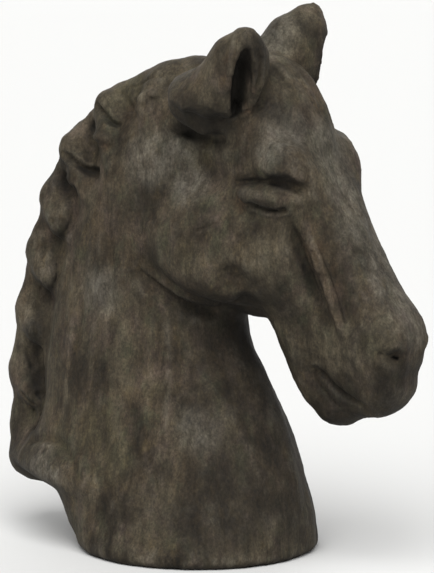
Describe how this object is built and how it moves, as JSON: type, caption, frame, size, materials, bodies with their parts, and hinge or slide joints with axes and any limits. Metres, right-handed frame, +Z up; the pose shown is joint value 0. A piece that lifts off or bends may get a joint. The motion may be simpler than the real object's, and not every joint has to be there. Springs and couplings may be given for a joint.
{
  "type": "horse head sculpture",
  "caption": "Carved driftwood horse head and neck with upright ears, a scalloped mane and a flat round underside that it stands on.",
  "frame": {"origin": "middle of the flat underside of the neck", "axes": "+X the way the horse looks, +Y its left side, +Z up"},
  "size_m": [0.4048, 0.2068, 0.4659],
  "materials": {
    "driftwood": "dry weathered driftwood, grey brown with lighter grey and dark patches, fine upright grain, no varnish"
  },
  "bodies": {
    "root": {"horse_head": "driftwood"}
  },
  "joints": []
}
